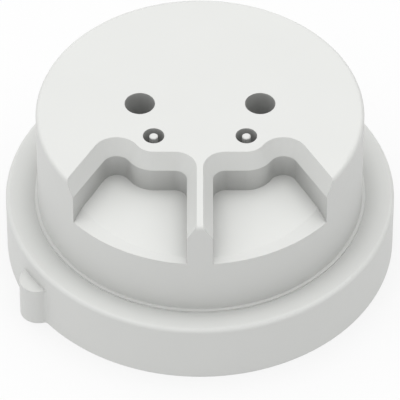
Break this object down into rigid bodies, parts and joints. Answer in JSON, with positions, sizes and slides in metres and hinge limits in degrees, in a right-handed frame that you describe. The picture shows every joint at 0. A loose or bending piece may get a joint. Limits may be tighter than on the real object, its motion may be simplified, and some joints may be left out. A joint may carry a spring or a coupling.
{
  "type": "pasta shaping disc",
  "caption": "Round stepped extrusion disc with two tube outlets, two open cut-off pockets and a pull-out rear insert that carries the mandrel pins.",
  "frame": {"origin": "centre of the rear seating face, on the disc's own axis", "axes": "+Z along the disc's axis toward the front face, where the pasta leaves; -Y toward the open side of the two cut-off pockets; +X completes a right-handed frame, with the locating lug on the -X, -Y side"},
  "size_m": [0.07, 0.07, 0.0317],
  "materials": {
    "white_plastic": "fine satin, food-grade white plastic",
    "white_plastic_insert": "fine satin, food-grade white plastic",
    "white_plastic_pin": "smooth, food-grade white plastic"
  },
  "bodies": {
    "disc": {"die_body": "white_plastic"},
    "insert": {"mandrel_insert": "white_plastic_insert", "mandrel_pin_left": "white_plastic_pin", "mandrel_pin_right": "white_plastic_pin"}
  },
  "joints": [
    {"name": "insert_pull", "type": "slide", "parent": "disc", "child": "insert", "axis": [0, 0, -1], "range_m": [0, 0.035]}
  ]
}
